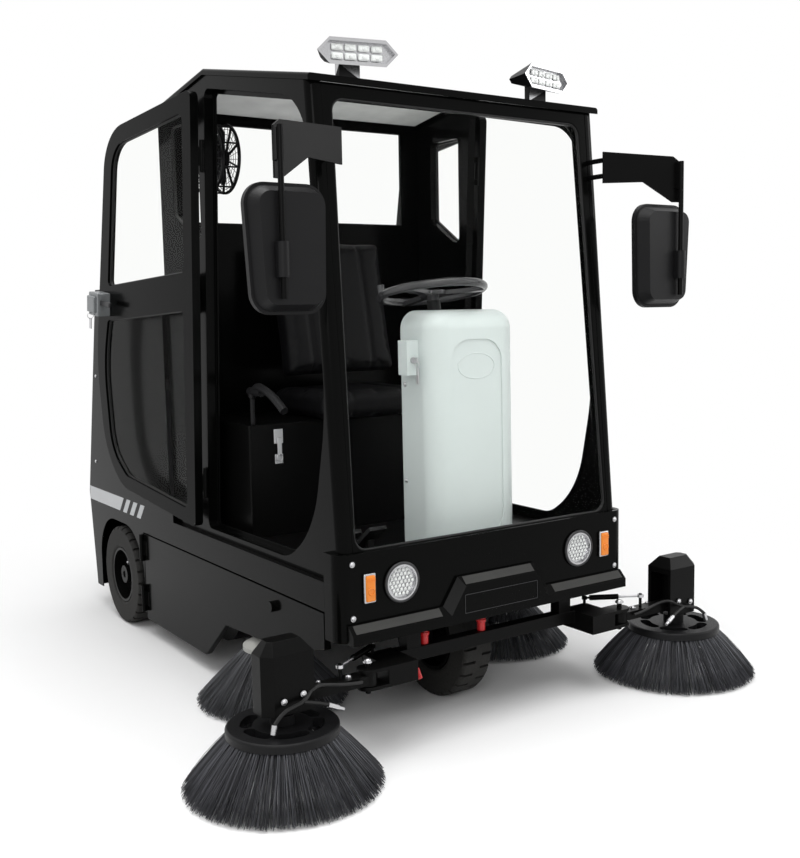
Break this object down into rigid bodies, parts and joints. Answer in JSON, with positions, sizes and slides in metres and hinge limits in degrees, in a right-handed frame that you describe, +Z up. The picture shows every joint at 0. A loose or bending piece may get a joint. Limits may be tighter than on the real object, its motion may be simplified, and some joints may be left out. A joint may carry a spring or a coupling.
{
  "type": "ride-on sweeper with cab",
  "caption": "Three-wheeled ride-on street sweeper with a glazed black cab, open side doors, flared side brushes, a main roller brush and a sloping rear housing.",
  "frame": {"origin": "on the floor under the middle of the machine, midway between the front brush tips and the tail", "axes": "+Z up, the machine drives towards -Y, its left-hand side is +X"},
  "size_m": [2.0818, 2.453, 2.06],
  "materials": {
    "black_paint": "gloss",
    "black_plastic": "satin",
    "console_plastic": "satin",
    "clear_glass": "gloss",
    "tyre_rubber": "matte",
    "black_bristle": "matte",
    "grey_bristle": "matte",
    "hub_grey": "matte",
    "bright_steel": "satin",
    "lamp_chrome": "gloss",
    "lamp_glass": "gloss",
    "amber_lens": "gloss",
    "seat_vinyl": "satin",
    "battery_case": "matte",
    "bin_paint": "satin"
  },
  "bodies": {
    "chassis": {"body_side_left": "black_paint", "body_side_right": "black_paint", "cab_front": "black_paint", "cab_rear_wall": "black_paint", "cab_side_left": "black_paint", "cab_side_right": "black_paint", "chassis_frame": "black_paint", "fascia": "black_paint", "floor_pan": "black_paint", "front_beam": "black_paint", "mirror_arms": "black_paint", "rear_shell": "black_paint", "roof": "black_paint", "seat_box": "black_paint", "rear_axle": "black_paint", "roller_hood": "black_paint", "side_brush_motors": "black_paint", "mirror_heads": "black_plastic", "cab_controls": "black_plastic", "fan_guard": "black_plastic", "console": "console_plastic", "cab_glass": "clear_glass", "lamp_housings": "lamp_chrome", "lamp_lenses": "lamp_glass", "indicators": "amber_lens", "seat": "seat_vinyl", "battery_pack": "battery_case", "waste_bin": "bin_paint"},
    "front_wheel": {"front_tyre": "tyre_rubber", "front_rim": "black_paint"},
    "rear_wheel_left": {"rear_left_tyre": "tyre_rubber", "rear_left_rim": "black_paint"},
    "rear_wheel_right": {"rear_right_tyre": "tyre_rubber", "rear_right_rim": "black_paint"},
    "fork": {"steering_fork": "black_paint"},
    "hand_wheel": {"steering_wheel": "black_plastic"},
    "arm_left": {"brush_arm_left": "black_paint"},
    "arm_right": {"brush_arm_right": "black_paint"},
    "barrel_left": {"strut_barrel_left": "black_paint"},
    "barrel_right": {"strut_barrel_right": "black_paint"},
    "rod_left": {"strut_rod_left": "bright_steel"},
    "rod_right": {"strut_rod_right": "bright_steel"},
    "front_brush_left": {"front_brush_disc_left": "black_plastic", "front_bristles_left": "black_bristle"},
    "front_brush_right": {"front_brush_disc_right": "black_plastic", "front_bristles_right": "black_bristle"},
    "side_brush_left": {"side_brush_hub_left": "hub_grey", "side_bristles_left": "grey_bristle"},
    "side_brush_right": {"side_brush_hub_right": "hub_grey", "side_bristles_right": "grey_bristle"},
    "roller": {"roller_brush": "black_bristle"},
    "fan": {"fan_blades": "black_plastic"},
    "door_left": {"cab_door_left": "black_paint", "door_glass_left": "clear_glass"},
    "door_right": {"cab_door_right": "black_paint", "door_glass_right": "clear_glass"},
    "panel_left": {"side_panel_left": "black_paint"},
    "panel_right": {"side_panel_right": "black_paint"},
    "tail_door": {"rear_door": "black_paint"}
  },
  "joints": [
    {"name": "steer", "type": "hinge", "parent": "chassis", "child": "fork", "pos_m": [0, -0.6335, 0.45], "axis": [0, 0, 1], "range_deg": [-60, 60]},
    {"name": "front_wheel_roll", "type": "hinge", "parent": "fork", "child": "front_wheel", "pos_m": [0, -0.6335, 0.2], "axis": [1, 0, 0], "continuous": true},
    {"name": "rear_wheel_left_roll", "type": "hinge", "parent": "chassis", "child": "rear_wheel_left", "pos_m": [0.52, 0.8165, 0.2], "axis": [1, 0, 0], "continuous": true},
    {"name": "rear_wheel_right_roll", "type": "hinge", "parent": "chassis", "child": "rear_wheel_right", "pos_m": [-0.52, 0.8165, 0.2], "axis": [1, 0, 0], "continuous": true},
    {"name": "hand_wheel_turn", "type": "hinge", "parent": "chassis", "child": "hand_wheel", "pos_m": [0, -0.5885, 1.32], "axis": [0, 0.1802, 0.9836], "range_deg": [-360, 360]},
    {"name": "roller_spin", "type": "hinge", "parent": "chassis", "child": "roller", "pos_m": [0, 0.3265, 0.172], "axis": [1, 0, 0], "continuous": true},
    {"name": "fan_spin", "type": "hinge", "parent": "chassis", "child": "fan", "pos_m": [-0.428, 0.0615, 1.8], "axis": [1, 0, 0], "continuous": true},
    {"name": "tail_door_swing", "type": "hinge", "parent": "chassis", "child": "tail_door", "pos_m": [-0.437, 1.23673, 0.50239], "axis": [0, -0.2273, 0.9738], "range_deg": [0, 105]},
    {"name": "arm_left_swing", "type": "hinge", "parent": "chassis", "child": "arm_left", "pos_m": [0.496, -0.9565, 0.242], "axis": [0, 0, 1], "range_deg": [0, 25]},
    {"name": "front_brush_left_spin", "type": "hinge", "parent": "arm_left", "child": "front_brush_left", "pos_m": [0.766, -0.9515, 0.16], "axis": [0, 0, 1], "continuous": true},
    {"name": "strut_left_turn", "type": "hinge", "parent": "chassis", "child": "barrel_left", "pos_m": [0.423, -0.8675, 0.296], "axis": [0, 0, 1], "range_deg": [0, 10.9]},
    {"name": "strut_left_slide", "type": "slide", "parent": "barrel_left", "child": "rod_left", "axis": [0.8714, -0.4905, 0], "range_m": [-0.0227, 0]},
    {"name": "side_brush_left_spin", "type": "hinge", "parent": "chassis", "child": "side_brush_left", "pos_m": [0.49, -0.3535, 0.19], "axis": [0, 0, 1], "continuous": true},
    {"name": "door_left_swing", "type": "hinge", "parent": "chassis", "child": "door_left", "pos_m": [0.5505, -0.0045, 0.495], "axis": [0, 0.0649, -0.9979], "range_deg": [0, 175]},
    {"name": "panel_left_swing", "type": "hinge", "parent": "chassis", "child": "panel_left", "pos_m": [0.5705, 0.5835, 0.25], "axis": [0, 0, 1], "range_deg": [0, 100]},
    {"name": "arm_right_swing", "type": "hinge", "parent": "chassis", "child": "arm_right", "pos_m": [-0.496, -0.9565, 0.242], "axis": [0, 0, -1], "range_deg": [0, 25]},
    {"name": "front_brush_right_spin", "type": "hinge", "parent": "arm_right", "child": "front_brush_right", "pos_m": [-0.766, -0.9515, 0.16], "axis": [0, 0, 1], "continuous": true},
    {"name": "strut_right_turn", "type": "hinge", "parent": "chassis", "child": "barrel_right", "pos_m": [-0.423, -0.8675, 0.296], "axis": [0, 0, -1], "range_deg": [0, 10.9]},
    {"name": "strut_right_slide", "type": "slide", "parent": "barrel_right", "child": "rod_right", "axis": [-0.8714, -0.4905, 0], "range_m": [-0.0227, 0]},
    {"name": "side_brush_right_spin", "type": "hinge", "parent": "chassis", "child": "side_brush_right", "pos_m": [-0.49, -0.3535, 0.19], "axis": [0, 0, 1], "continuous": true},
    {"name": "door_right_swing", "type": "hinge", "parent": "chassis", "child": "door_right", "pos_m": [-0.5505, -0.0045, 0.495], "axis": [0, -0.0649, 0.9979], "range_deg": [0, 175]},
    {"name": "panel_right_swing", "type": "hinge", "parent": "chassis", "child": "panel_right", "pos_m": [-0.5705, 0.5835, 0.25], "axis": [0, 0, -1], "range_deg": [0, 100]}
  ],
  "couplings": [
    {"joint": "hand_wheel_turn", "follows": "steer", "ratio": 6},
    {"joint": "strut_left_turn", "follows": "arm_left_swing", "ratio": 0.4328},
    {"joint": "strut_left_slide", "follows": "arm_left_swing", "m_per_rad": -0.0517},
    {"joint": "strut_right_turn", "follows": "arm_right_swing", "ratio": 0.4328},
    {"joint": "strut_right_slide", "follows": "arm_right_swing", "m_per_rad": -0.0517}
  ]
}
